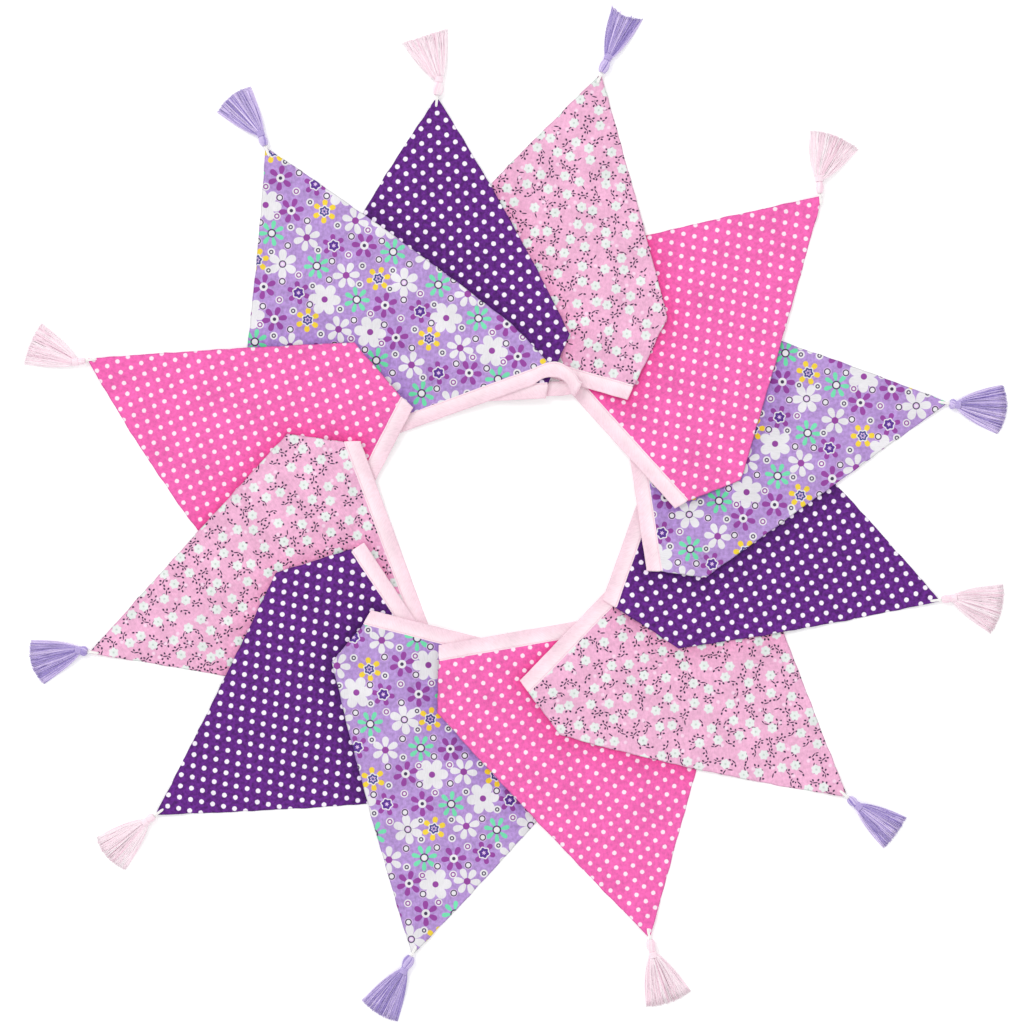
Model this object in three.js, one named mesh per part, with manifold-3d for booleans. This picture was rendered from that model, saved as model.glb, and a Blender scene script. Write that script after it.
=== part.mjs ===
// Fabric bunting laid flat as a ring: double-sided cotton pennants sewn into one folded tape.
// Each pennant covers its clockwise neighbour, and carries a thread loop and a tassel at its tip.
// Millimetres, +Z up, the floor at z = 0, the origin under the middle of the laid ring.
import * as THREE from 'three';
import { mergeVertices } from 'three/addons/utils/BufferGeometryUtils.js';
import Module from 'manifold-3d';

const wasm = await Module();
wasm.setup();

// Cloth and tape
const CLOTH_THICK = 1.0;
const TAPE_THICK = 1.0;
const TAPE_WIDTH = 10.7;
const TOP_WIDTH = 160;
const TOP_CORNER_FLARE = 2;
const TIP_BLUNT = 1.5;

// Clearance between touching pieces, and between cloths that lie on one another
const FIT_GAP = 0.3;
const LAYER_GAP = 0.6;

// A cloth stays level this far past an edge beneath it, then sinks to the floor over this length
const DRAPE_MARGIN = 3;
const DRAPE_LENGTH = 60;
const LAYERS_BELOW = 12;

// White thread loop through the pennant's tip and the tassel's head
const THREAD_RADIUS = 0.45;
const THREAD_CLEARANCE = 0.4;
const LOOP_HALF_HEIGHT = 1.3;
const LOOP_INSIDE_TIP = 4.5;
const LOOP_PAST_TIP = 5.5;
const TIP_LEVEL = 9;
const TIP_DRAPE = 24;

// Tassel: a bound head and one row of strands that widen to their ends
const HEAD_START = 3;
const HEAD_LENGTH = 11;
const HEAD_WIDTH = 8;
const HEAD_HEIGHT = 5.6;
const HEAD_LIFT = 0.3;
const STRANDS = 8;
const STRAND_FILL = 0.92;
const STRAND_ROOT_HEIGHT = 3.6;
const STRAND_END_HEIGHT = 1.6;
const STRAND_ROOT_BACK = 3;
const NECK_HALF = 2.2;

// Steps of each mesh
const CLOTH_COLUMNS = 10;
const CLOTH_ROWS = [0, 0.05, 0.16, 0.27, 0.38, 0.49, 0.6, 0.71, 0.8, 0.88, 0.94, 1];
const SHOULDER_ROW = 0.8;
const TAPE_STEPS = 8;
const FOLD_STEPS = 4;
const LOOP_SIDES = 6;
const LOOP_TURN_STEPS = 8;
const HEAD_SIDES = 8;
const HEAD_RINGS = 5;

// Vertices closer than this are one, and the stack is settled this many times round
const WELD_DISTANCE = 1e-4;
const STACK_PASSES = 2;

const CLOTH_ROUGHNESS = 0.9;

const COLOURS = {
  purple_dots: '#5a2380',
  pink_ditsy: '#f2b4d4',
  hot_pink_dots: '#fa6cba',
  lilac_floral: '#ac8ccd',
  tape_pink: '#fbdde9',
  tassel_pink: '#f6dbe6',
  tassel_lilac: '#ae9cd4',
  thread_white: '#f7f5f3',
};

// Pennants clockwise from the tape's hidden start. heading runs from the tip to the ring, in degrees.
// at and half are measured along and across that heading on the clockwise side, the side that shows:
// the shoulder is the widest point, and the top is the corner of the tape's inner edge. The bows say
// how far the long edges swell past a straight line.
const PENNANT_COLUMNS = [
  'print', 'tipX', 'tipY', 'heading', 'shoulderAt', 'shoulderHalf', 'topAt', 'topHalf', 'topTilt',
  'clockwiseBow', 'hiddenBow',
];
const PENNANT_ROWS = [
  ['purple_dots', -52.6, 278.0, -90.8, 156, 91, 199, 75.6, -3.8, 3, 3.5],
  ['pink_ditsy', 56.7, 293.5, -104.6, 145, 84.4, 205, 71.6, 1.5, 0.7, 1.3],
  ['hot_pink_dots', 204.1, 212.4, -136.5, 169, 100.5, 214, 83.5, 1.5, 0.7, 1],
  ['lilac_floral', 287.8, 75.0, -171.7, 176, 92.5, 214.3, 82, 0, 0, 2.5],
  ['purple_dots', 282.4, -57.0, 161.4, 154, 85.8, 212.6, 71, 1.2, 2, 2],
  ['pink_ditsy', 220.8, -187.6, 139.3, 171, 93.8, 215.4, 83.4, 3.3, 3.5, -0.7],
  ['hot_pink_dots', 89.5, -281.4, 103.9, 179, 101.8, 222.6, 89.5, 4.2, 1.5, 0],
  ['lilac_floral', -68.6, -292.8, 76.8, 177, 97.2, 216.8, 79.7, 1, 2.2, 3],
  ['purple_dots', -239.5, -199.7, 33.4, 155, 91, 215.3, 74, 0, -0.7, 1.5],
  ['pink_ditsy', -283.7, -91.8, 19.2, 172, 95, 216.5, 74.6, -1, 0.5, 0],
  ['hot_pink_dots', -285.1, 103.8, -26.3, 154, 89, 208.4, 67.6, 1, 1, 4.5],
  ['lilac_floral', -166.5, 244.5, -65.8, 174, 101.8, 218, 111.6, 4.5, 2.2, -2],
];

// One tassel for each pennant: where its neck lies, and where its strands point, spread and reach
const TASSEL_COLUMNS = ['thread', 'neckX', 'neckY', 'heading', 'halfSpread', 'reach'];
const TASSEL_ROWS = [
  ['tassel_pink', -51.2, 291.4, 107, 25, 33],
  ['tassel_lilac', 62.0, 306.2, 64, 22, 32.5],
  ['tassel_pink', 203.4, 225.0, 70, 29, 31.5],
  ['tassel_lilac', 295.8, 73.7, -6, 27, 32.5],
  ['tassel_pink', 293.2, -55.6, -14, 27, 33],
  ['tassel_lilac', 229.5, -195.0, -36, 20, 32],
  ['tassel_pink', 92.2, -294.1, -70, 27, 34.5],
  ['tassel_lilac', -74.7, -304.9, -121, 22, 34],
  ['tassel_pink', -247.5, -205.7, -138, 22, 34],
  ['tassel_lilac', -292.4, -90.5, -164, 26, 32.5],
  ['tassel_pink', -294.4, 102.5, 157, 23, 33],
  ['tassel_lilac', -170.5, 255.3, 129, 25, 31.5],
];

// The tape's end past the last pennant: it arches over, turns under in a soft loop and tucks back
// beneath the first pennant. It leaves the last pennant's straight edge this far before the corner.
// The rows are points on its cloth-side and inner edges, and how far it lifts.
const TIE_LEAVES_AT = 14;
const TIE_COLUMNS = ['outerX', 'outerY', 'innerX', 'innerY', 'rise'];
const TIE_ARCH_ROWS = [
  [21.7, 101.8, 19.3, 91.4, 0.6],
  [28.4, 102.1, 27.0, 91.9, 1.8],
  [35.2, 98.5, 31.2, 90.1, 3],
  [39.9, 94.1, 34.5, 87.1, 3.2],
  [42.6, 89.8, 37.2, 80.7, 2.4],
];
const TIE_TAIL_ROWS = [
  [42.6, 89.8, 37.2, 80.7, 0],
  [33.9, 89.4, 30.5, 79.7, 0],
  [22.5, 89.4, 21.1, 79.4, 0],
  [4.4, 87.8, 3.7, 78.4, 0],
];

function readTable(columns, rows) {
  return rows.map((row) => Object.fromEntries(columns.map((column, k) => [column, row[k]])));
}

function direction(degrees) {
  const angle = THREE.MathUtils.degToRad(degrees);
  return new THREE.Vector2(Math.cos(angle), Math.sin(angle));
}

function leftOf(vector) {
  return new THREE.Vector2(-vector.y, vector.x);
}

function step(point, vector, length) {
  return point.clone().addScaledVector(vector, length);
}

function mix(a, b, share) {
  return a.clone().lerp(b, share);
}

// Bends a three.js primitive into place: each of its vertices goes where placeVertex puts it
function bend(geometry, placeVertex) {
  const positions = geometry.getAttribute('position');
  const vertex = new THREE.Vector3();
  for (let k = 0; k < positions.count; k += 1) {
    vertex.fromBufferAttribute(positions, k);
    const placed = placeVertex(vertex);
    positions.setXYZ(k, placed.x, placed.y, placed.z);
  }
  geometry.deleteAttribute('normal');
  geometry.deleteAttribute('uv');
  return mergeVertices(geometry, WELD_DISTANCE);
}

function toSolid(geometry) {
  return new wasm.Manifold(new wasm.Mesh({
    numProp: 3,
    vertProperties: new Float32Array(geometry.getAttribute('position').array),
    triVerts: new Uint32Array(geometry.getIndex().array),
  }));
}

function toGeometry(solid) {
  const mesh = solid.getMesh();
  const geometry = new THREE.BufferGeometry();
  geometry.setAttribute('position', new THREE.BufferAttribute(mesh.vertProperties, 3));
  geometry.setIndex(new THREE.BufferAttribute(mesh.triVerts, 1));
  return geometry;
}

function namedMesh(name, geometry, colour) {
  geometry.computeVertexNormals();
  const material = new THREE.MeshStandardMaterial({ color: COLOURS[colour], roughness: CLOTH_ROUGHNESS });
  const mesh = new THREE.Mesh(geometry, material);
  mesh.name = name;
  return mesh;
}

// Adds the plan of a pennant to its table row: axes, top edge and corner points
function layOut(pennant) {
  const along = direction(pennant.heading);
  const across = leftOf(along);
  const tip = new THREE.Vector2(pennant.tipX, pennant.tipY);
  const at = (length, half) => step(step(tip, along, length), across, half);
  const back = direction(pennant.heading - 90 - pennant.topTilt);
  const toTip = leftOf(back).negate();
  const innerCorner = at(pennant.topAt, pennant.topHalf);
  const fromCorner = (length, depth) => step(step(innerCorner, back, length), toTip, depth);
  const blunt = TIP_BLUNT * pennant.shoulderHalf / pennant.shoulderAt;
  const clothDepth = TAPE_WIDTH + FIT_GAP;
  return {
    ...pennant,
    tip,
    tapeHeading: back.clone().negate(),
    tapeStart: fromCorner(TOP_WIDTH, TAPE_WIDTH / 2),
    tapeEnd: fromCorner(0, TAPE_WIDTH / 2),
    tieStart: {
      outer: fromCorner(TIE_LEAVES_AT, TAPE_WIDTH),
      inner: fromCorner(TIE_LEAVES_AT, 0),
    },
    outline: [
      tip,
      at(pennant.shoulderAt / 2, -pennant.shoulderHalf / 2 - Math.max(pennant.hiddenBow, 0)),
      at(pennant.shoulderAt, -pennant.shoulderHalf),
      fromCorner(TOP_WIDTH, 0),
      innerCorner,
      at(pennant.shoulderAt, pennant.shoulderHalf),
      at(pennant.shoulderAt / 2, pennant.shoulderHalf / 2 + Math.max(pennant.clockwiseBow, 0)),
    ],
    clockwiseEdge: {
      tip: at(TIP_BLUNT, blunt),
      shoulder: at(pennant.shoulderAt, pennant.shoulderHalf),
      top: fromCorner(-TOP_CORNER_FLARE, clothDepth),
      swell: across.clone().multiplyScalar(pennant.clockwiseBow),
    },
    hiddenEdge: {
      tip: at(TIP_BLUNT, -blunt),
      shoulder: at(pennant.shoulderAt, -pennant.shoulderHalf),
      top: fromCorner(TOP_WIDTH + TOP_CORNER_FLARE, clothDepth),
      swell: across.clone().multiplyScalar(-pennant.hiddenBow),
    },
  };
}

const pennants = readTable(PENNANT_COLUMNS, PENNANT_ROWS).map(layOut);
const tassels = readTable(TASSEL_COLUMNS, TASSEL_ROWS);

// A flat fold turns the tape from one heading to the other about a slanted line through a point.
// side is 1 while the tape lies face up and -1 while it is turned over.
function foldLine(point, incoming, outgoing, side) {
  const normal = incoming.clone().sub(outgoing).normalize();
  const left = leftOf(incoming).multiplyScalar(side * TAPE_WIDTH / 2);
  const slide = -left.dot(normal) / incoming.dot(normal);
  return {
    normal,
    outer: step(point.clone().add(left), incoming, slide),
    inner: step(point.clone().sub(left), incoming, -slide),
  };
}

// Where the tape folds under at the end of each pennant, and down again at the start of the next
const folds = pennants.slice(0, -1).map((pennant, k) => {
  const next = pennants[k + 1];
  const back = next.tapeStart.clone().sub(pennant.tapeEnd).normalize();
  return {
    under: foldLine(pennant.tapeEnd, pennant.tapeHeading, back, 1),
    down: foldLine(next.tapeStart, back, next.tapeHeading, -1),
  };
});

function tieRow(row) {
  return {
    outer: new THREE.Vector2(row.outerX, row.outerY),
    inner: new THREE.Vector2(row.innerX, row.innerY),
    rise: row.rise,
  };
}

const tieArch = readTable(TIE_COLUMNS, TIE_ARCH_ROWS).map(tieRow);
const tieTail = readTable(TIE_COLUMNS, TIE_TAIL_ROWS).map(tieRow);

// Every layer in its order down the stack, which runs clockwise and closes on itself
const layers = [];
pennants.forEach((pennant, k) => {
  layers.push({ name: `pennant ${k}`, outline: pennant.outline });
  if (k < folds.length) {
    const { under, down } = folds[k];
    layers.push({ name: `return ${k}`, outline: [under.outer, under.inner, down.inner, down.outer] });
  }
  if (k === 0) {
    const [first, last] = [tieTail[0], tieTail[tieTail.length - 1]];
    layers.push({ name: 'tail', outline: [first.outer, first.inner, last.inner, last.outer] });
  }
});
layers.forEach((layer) => {
  if (THREE.ShapeUtils.isClockWise(layer.outline)) layer.outline.reverse();
});
const layerIndex = new Map(layers.map((layer, k) => [layer.name, k]));

// How far a point lies outside a convex outline, or 0 within it
function distanceOutside(outline, point) {
  let inside = true;
  let nearest = Infinity;
  outline.forEach((start, k) => {
    const edge = outline[(k + 1) % outline.length].clone().sub(start);
    const offset = point.clone().sub(start);
    if (offset.cross(edge) > 0) inside = false;
    const share = THREE.MathUtils.clamp(offset.dot(edge) / edge.lengthSq(), 0, 1);
    nearest = Math.min(nearest, offset.addScaledVector(edge, -share).length());
  });
  return inside ? 0 : nearest;
}

function drape(distance, margin, length) {
  return 1 - THREE.MathUtils.smoothstep(distance, margin, margin + length);
}

// Underside height of every layer at a point: each lies on what is below it and drapes past edges
function stackHeights(point) {
  const distances = layers.map((layer) => distanceOutside(layer.outline, point));
  const lifts = distances.map((distance) => drape(distance, DRAPE_MARGIN, DRAPE_LENGTH));
  const heights = layers.map(() => 0);
  for (let pass = 0; pass < STACK_PASSES; pass += 1) {
    for (let k = layers.length - 1; k >= 0; k -= 1) {
      for (let down = 1; down <= LAYERS_BELOW; down += 1) {
        const below = (k + down) % layers.length;
        heights[k] = Math.max(heights[k], lifts[below] * (heights[below] + CLOTH_THICK + LAYER_GAP));
      }
    }
  }
  return heights;
}

function layerHeight(name, point) {
  return stackHeights(point)[layerIndex.get(name)];
}

// The cloth lifts at its tip to let the thread loop pass beneath
function tipLift(pennant, point) {
  const clearance = 2 * THREAD_RADIUS + THREAD_CLEARANCE;
  return clearance * drape(point.distanceTo(pennant.tip), TIP_LEVEL, TIP_DRAPE);
}

// A point on a pennant's side: a swelling long edge to the shoulder, then straight in to the top
function edgePoint(edge, share) {
  if (share >= SHOULDER_ROW) {
    return mix(edge.shoulder, edge.top, (share - SHOULDER_ROW) / (1 - SHOULDER_ROW));
  }
  const reached = share / SHOULDER_ROW;
  return step(mix(edge.tip, edge.shoulder, reached), edge.swell, 4 * reached * (1 - reached));
}

function clothGeometry(pennant, name) {
  const box = new THREE.BoxGeometry(1, 1, 1, CLOTH_COLUMNS, CLOTH_ROWS.length - 1, 1);
  return bend(box, (vertex) => {
    const share = CLOTH_ROWS[Math.round((vertex.y + 0.5) * (CLOTH_ROWS.length - 1))];
    const shown = edgePoint(pennant.clockwiseEdge, share);
    const point = mix(shown, edgePoint(pennant.hiddenEdge, share), vertex.x + 0.5);
    const underside = Math.max(layerHeight(name, point), tipLift(pennant, point));
    return new THREE.Vector3(point.x, point.y, underside + (vertex.z + 0.5) * CLOTH_THICK);
  });
}

// One cross row of the tape: its two edge points, their heights, and the way its face looks
function flatRow(name, outer, inner, side, rise = 0) {
  const mid = rise + TAPE_THICK / 2;
  const face = new THREE.Vector3(0, 0, side);
  return {
    outer: new THREE.Vector3(outer.x, outer.y, layerHeight(name, outer) + mid),
    inner: new THREE.Vector3(inner.x, inner.y, layerHeight(name, inner) + mid),
    face,
  };
}

function flatRows(name, start, end, side) {
  return Array.from({ length: TAPE_STEPS + 1 }, (_, k) => {
    const share = k / TAPE_STEPS;
    return flatRow(name, mix(start.outer, end.outer, share), mix(start.inner, end.inner, share), side);
  });
}

// Rows of the half turn between an upper row and the row that it folds down to
function turnRows(upper, lower, normal, side) {
  return Array.from({ length: FOLD_STEPS - 1 }, (_, k) => {
    const angle = Math.PI * (k + 1) / FOLD_STEPS;
    const level = normal.clone().multiplyScalar(Math.sin(angle));
    const outward = new THREE.Vector3(level.x, level.y, Math.cos(angle));
    const turn = (high, low) => {
      const radius = (high.z - low.z) / 2;
      return high.clone().lerp(low, 0.5).addScaledVector(outward, radius);
    };
    return {
      outer: turn(upper.outer, lower.outer),
      inner: turn(upper.inner, lower.inner),
      face: outward.multiplyScalar(side),
    };
  });
}

function tapeRows() {
  const first = pennants[0];
  const square = leftOf(first.tapeHeading);
  let start = {
    outer: step(first.tapeStart, square, TAPE_WIDTH / 2),
    inner: step(first.tapeStart, square, -TAPE_WIDTH / 2),
  };
  const stretches = [];
  folds.forEach((fold, k) => {
    const shown = flatRows(`pennant ${k}`, start, fold.under, 1);
    const returning = flatRows(`return ${k}`, fold.under, fold.down, -1);
    stretches.push({ rows: shown, turn: fold.under.normal, side: 1 });
    stretches.push({ rows: returning, turn: fold.down.normal, side: -1 });
    start = fold.down;
  });
  const last = pennants[pennants.length - 1];
  const lastName = `pennant ${pennants.length - 1}`;
  const arch = tieArch.map((row) => flatRow(lastName, row.outer, row.inner, 1, row.rise));
  const turnEdge = tieArch[tieArch.length - 1];
  const turnNormal = leftOf(turnEdge.inner.clone().sub(turnEdge.outer)).normalize();
  stretches.push({
    rows: [...flatRows(lastName, start, last.tieStart, 1), ...arch],
    turn: turnNormal,
    side: 1,
  });
  stretches.push({ rows: tieTail.map((row) => flatRow('tail', row.outer, row.inner, -1)) });

  return stretches.flatMap(({ rows, turn, side }, k) => {
    if (!turn) return rows;
    return [...rows, ...turnRows(rows[rows.length - 1], stretches[k + 1].rows[0], turn, side)];
  });
}

function tapeGeometry() {
  const rows = tapeRows();
  const box = new THREE.BoxGeometry(1, 1, 1, 1, rows.length - 1, 1);
  return bend(box, (vertex) => {
    const row = rows[Math.round((vertex.y + 0.5) * (rows.length - 1))];
    const edge = vertex.x < 0 ? row.outer : row.inner;
    return edge.clone().addScaledVector(row.face, vertex.z * TAPE_THICK);
  });
}

// The thread loop lies upright along +X, with the tip of the pennant at x = 0
function loopGeometry(threadRadius) {
  const straight = (LOOP_INSIDE_TIP + LOOP_PAST_TIP) / 2 - LOOP_HALF_HEIGHT;
  const middle = (LOOP_PAST_TIP - LOOP_INSIDE_TIP) / 2;
  const torus = new THREE.TorusGeometry(LOOP_HALF_HEIGHT, threadRadius, LOOP_SIDES, LOOP_TURN_STEPS);
  return bend(torus, (vertex) => {
    const shift = Math.abs(vertex.x) < WELD_DISTANCE ? 0 : Math.sign(vertex.x) * straight;
    const height = vertex.y + LOOP_HALF_HEIGHT + THREAD_RADIUS;
    return new THREE.Vector3(middle + shift + vertex.x, -vertex.z, height);
  });
}

// One strand lies level on the floor from the neck to its end, ridged on top
function strandGeometry(neck, heading, tassel, place) {
  const root = step(neck, direction(heading), -STRAND_ROOT_BACK);
  const start = step(root, leftOf(direction(heading)), place * 2 * NECK_HALF);
  const way = direction(heading + place * 2 * tassel.halfSpread);
  const end = step(start, way, tassel.reach + STRAND_ROOT_BACK);
  const fanHalf = THREE.MathUtils.degToRad(tassel.halfSpread) * tassel.reach;
  const rootHalf = STRAND_FILL * NECK_HALF / STRANDS;
  const endHalf = rootHalf + STRAND_FILL * fanHalf / STRANDS;
  const ridge = new THREE.CylinderGeometry(1, 1, 1, 3, 1);
  const [footLevel, ridgeLevel] = [-0.5, 1];
  const footReach = Math.sin(Math.PI / 3);
  return bend(ridge, (vertex) => {
    const share = vertex.y + 0.5;
    const half = THREE.MathUtils.lerp(rootHalf, endHalf, share);
    const height = THREE.MathUtils.lerp(STRAND_ROOT_HEIGHT, STRAND_END_HEIGHT, share);
    const point = step(mix(start, end, share), leftOf(way), -half * vertex.x / footReach);
    const level = THREE.MathUtils.inverseLerp(footLevel, ridgeLevel, vertex.z);
    return new THREE.Vector3(point.x, point.y, height * level);
  });
}

function headGeometry() {
  const scale = new THREE.Vector3(HEAD_LENGTH / 2, HEAD_WIDTH / 2, HEAD_HEIGHT / 2);
  const middle = new THREE.Vector3(HEAD_START + HEAD_LENGTH / 2, 0, HEAD_LIFT + HEAD_HEIGHT / 2);
  return bend(new THREE.SphereGeometry(1, HEAD_SIDES, HEAD_RINGS), (vertex) => {
    const turned = new THREE.Vector3(vertex.y, -vertex.x, vertex.z);
    return turned.multiply(scale).add(middle);
  });
}

// The tassel in its own frame, with the pennant's tip at the origin and the neck along +X
function tasselGeometry(tassel, neckDistance, turn) {
  const neck = new THREE.Vector2(neckDistance, 0);
  const heading = tassel.heading - turn;
  let solid = toSolid(headGeometry());
  for (let k = 0; k < STRANDS; k += 1) {
    solid = solid.add(toSolid(strandGeometry(neck, heading, tassel, (k + 0.5) / STRANDS - 0.5)));
  }
  return toGeometry(solid.subtract(toSolid(loopGeometry(THREAD_RADIUS + THREAD_CLEARANCE))));
}

const bunting = new THREE.Group();
bunting.add(namedMesh('binding_tape', tapeGeometry(), 'tape_pink'));

pennants.forEach((pennant, k) => {
  const number = String(k + 1).padStart(2, '0');
  const tassel = tassels[k];
  const toNeck = new THREE.Vector2(tassel.neckX, tassel.neckY).sub(pennant.tip);
  const turn = THREE.MathUtils.radToDeg(toNeck.angle());

  const tipGroup = new THREE.Group();
  tipGroup.position.set(pennant.tip.x, pennant.tip.y, 0);
  tipGroup.rotation.z = toNeck.angle();
  tipGroup.updateMatrixWorld();
  tipGroup.add(namedMesh(`thread_loop_${number}`, loopGeometry(THREAD_RADIUS), 'thread_white'));
  tipGroup.add(namedMesh(`tassel_${number}`, tasselGeometry(tassel, toNeck.length(), turn), tassel.thread));

  const threadHole = loopGeometry(THREAD_RADIUS + THREAD_CLEARANCE).applyMatrix4(tipGroup.matrixWorld);
  const cloth = toSolid(clothGeometry(pennant, `pennant ${k}`)).subtract(toSolid(threadHole));
  bunting.add(namedMesh(`pennant_${number}`, toGeometry(cloth), pennant.print), tipGroup);
});

export default bunting;
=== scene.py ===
"""Looks of a fabric bunting laid flat as a ring, on a pale floor, seen straight from above."""

import math
from types import SimpleNamespace

import bpy
import numpy as np
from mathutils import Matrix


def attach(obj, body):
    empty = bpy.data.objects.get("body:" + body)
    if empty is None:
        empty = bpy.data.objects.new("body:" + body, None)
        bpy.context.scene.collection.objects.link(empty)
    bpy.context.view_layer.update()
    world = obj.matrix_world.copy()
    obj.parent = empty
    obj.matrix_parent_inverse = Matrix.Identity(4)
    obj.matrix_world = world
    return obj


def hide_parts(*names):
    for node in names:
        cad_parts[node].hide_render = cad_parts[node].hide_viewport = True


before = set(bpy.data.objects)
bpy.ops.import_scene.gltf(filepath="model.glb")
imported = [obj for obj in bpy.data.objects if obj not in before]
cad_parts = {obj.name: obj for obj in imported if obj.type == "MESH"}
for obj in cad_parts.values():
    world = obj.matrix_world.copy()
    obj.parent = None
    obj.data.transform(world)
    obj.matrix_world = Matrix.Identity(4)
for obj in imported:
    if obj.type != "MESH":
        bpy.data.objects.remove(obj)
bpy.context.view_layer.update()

# All lengths below are in millimetres, in the frame of the part
MM = 0.001

# Cloth and tape
CLOTH_THICK = 1.0
TAPE_WIDTH = 10.7
TAPE_HALF_THICK = 0.5
TOP_WIDTH = 160
TOP_CORNER_FLARE = 2
TIP_BLUNT = 1.5
TIP_REACH = 1.4
TAPE_TUCK = 1.5
LAYER_GAP = 0.6

# A cloth stays level this far past an edge beneath it, then sinks to the floor over this length
DRAPE_MARGIN = 3
DRAPE_LENGTH = 60
LAYERS_BELOW = 12
STACK_PASSES = 2

# Seeds of the chance unevenness
WAVE_SEED = 11
CLOTH_SEED = 100
TAPE_SEED = 7
TASSEL_SEED = 300

# The turned seam makes a thicker rim round each pennant
SEAM_WIDTH = 5.5
SEAM_FADE = 1.8
RIM_HALF_THICK = 0.46
MIDDLE_HALF_THICK = 0.3
EDGE_ROUNDING = 0.5
RIM_STEPS = np.array([0, 0.12, 0.3, 0.6, 1.6, 3.4, 5.2, 6.4, 7.6])
CLOTH_COLUMNS = 60
CLOTH_ROWS = 110
SHOULDER_SHARE = 0.8

# Thread loop through the pennant's tip
THREAD_RADIUS = 0.45
THREAD_CLEARANCE = 0.4
LOOP_HALF_HEIGHT = 1.3
LOOP_INSIDE_TIP = 4.5
LOOP_PAST_TIP = 5.5
TIP_LEVEL = 9
TIP_DRAPE = 24

# Tassel
HEAD_START = 3
HEAD_HEIGHT = 5.2
HEAD_LIFT = 0.3
HEAD_THREADS = 24
HEAD_THREAD_RADIUS = 0.5
HEAD_TWIST = 0.7
NECK_HALF = 2.3
NECK_WRAPS = 5
SKIRT_THREADS = 340
SKIRT_THREAD_RADIUS = 0.25
SKIRT_FLARE = 0.8
SKIRT_CLUMPS = 84
STRAY_SHARE = 0.07
STRAY_SWING = 7

# Pennants clockwise from the tape's hidden start. heading runs from the tip to the ring, in degrees.
# at and half are measured along and across that heading on the clockwise side, the side that shows:
# the shoulder is the widest point, and the top is the corner of the tape's inner edge. The bows say
# how far the long edges swell past a straight line, and print_turn how far the print is off grain.
PENNANT_COLUMNS = (
    "print", "tip_x", "tip_y", "heading", "shoulder_at", "shoulder_half", "top_at", "top_half",
    "top_tilt", "clockwise_bow", "hidden_bow", "print_turn",
)
PENNANT_ROWS = (
    ("purple_dots", -52.6, 278.0, -90.8, 156, 91, 199, 75.6, -3.8, 3, 3.5, -3.3),
    ("pink_ditsy", 56.7, 293.5, -104.6, 145, 84.4, 205, 71.6, 1.5, 0.7, 1.3, 0),
    ("hot_pink_dots", 204.1, 212.4, -136.5, 169, 100.5, 214, 83.5, 1.5, 0.7, 1, 7.5),
    ("lilac_floral", 287.8, 75.0, -171.7, 176, 92.5, 214.3, 82, 0, 0, 2.5, 12),
    ("purple_dots", 282.4, -57.0, 161.4, 154, 85.8, 212.6, 71, 1.2, 2, 2, -3.3),
    ("pink_ditsy", 220.8, -187.6, 139.3, 171, 93.8, 215.4, 83.4, 3.3, 3.5, -0.7, 40),
    ("hot_pink_dots", 89.5, -281.4, 103.9, 179, 101.8, 222.6, 89.5, 4.2, 1.5, 0, 7),
    ("lilac_floral", -68.6, -292.8, 76.8, 177, 97.2, 216.8, 79.7, 1, 2.2, 3, -15),
    ("purple_dots", -239.5, -199.7, 33.4, 155, 91, 215.3, 74, 0, -0.7, 1.5, -3.5),
    ("pink_ditsy", -283.7, -91.8, 19.2, 172, 95, 216.5, 74.6, -1, 0.5, 0, 75),
    ("hot_pink_dots", -285.1, 103.8, -26.3, 154, 89, 208.4, 67.6, 1, 1, 4.5, -1.9),
    ("lilac_floral", -166.5, 244.5, -65.8, 174, 101.8, 218, 111.6, 4.5, 2.2, -2, 33),
)

# One tassel for each pennant: where its neck lies, and where its strands point, spread and reach.
# hollow is how far the cut end dips in its middle, parting opens the strands in two lobes, and head
# is the width of the bound head.
TASSEL_COLUMNS = (
    "thread", "neck_x", "neck_y", "heading", "half_spread", "reach", "hollow", "parting", "head",
)
TASSEL_ROWS = (
    ("tassel_pink", -51.2, 291.4, 108, 24, 32, 3, 0, 7.6),
    ("tassel_lilac", 62.0, 306.2, 67, 15, 31.5, 4, 0.03, 6.8),
    ("tassel_pink", 203.4, 225.0, 69, 28, 31, 1, 0, 5.4),
    ("tassel_lilac", 295.8, 73.7, -6, 26, 32.5, -1, 0, 7.2),
    ("tassel_pink", 293.2, -55.6, -14, 26, 33, 0, 0, 5.8),
    ("tassel_lilac", 229.5, -195.0, -36, 19, 31.5, 1, 0.02, 6),
    ("tassel_pink", 92.2, -294.1, -71, 23, 34, 0, 0.08, 6.8),
    ("tassel_lilac", -74.7, -304.9, -121, 20, 33.5, 0, 0, 7.6),
    ("tassel_pink", -247.5, -205.7, -138, 21, 34, -1.5, 0.02, 6),
    ("tassel_lilac", -292.4, -90.5, -164, 24, 32, -1.5, 0, 7),
    ("tassel_pink", -294.4, 102.5, 157, 22, 33, 1, 0, 5.4),
    ("tassel_lilac", -170.5, 255.3, 128, 22, 31.5, -1, 0, 6),
)

# The tape's end past the last pennant: it arches over, turns under in a soft loop and tucks back
# beneath the first pennant. It leaves the last pennant's straight edge this far before the corner.
# The rows are points on its cloth-side and inner edges, and how far it lifts.
TIE_LEAVES_AT = 14
TIE_ARCH_ROWS = (
    (21.7, 101.8, 19.3, 91.4, 0.6),
    (28.4, 102.1, 27.0, 91.9, 1.8),
    (35.2, 98.5, 31.2, 90.1, 3),
    (39.9, 94.1, 34.5, 87.1, 3.2),
    (42.6, 89.8, 37.2, 80.7, 2.4),
)
TIE_TAIL_ROWS = (
    (42.6, 89.8, 37.2, 80.7, 0),
    (33.9, 89.4, 30.5, 79.7, 0),
    (22.5, 89.4, 21.1, 79.4, 0),
    (4.4, 87.8, 3.7, 78.4, 0),
)

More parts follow.
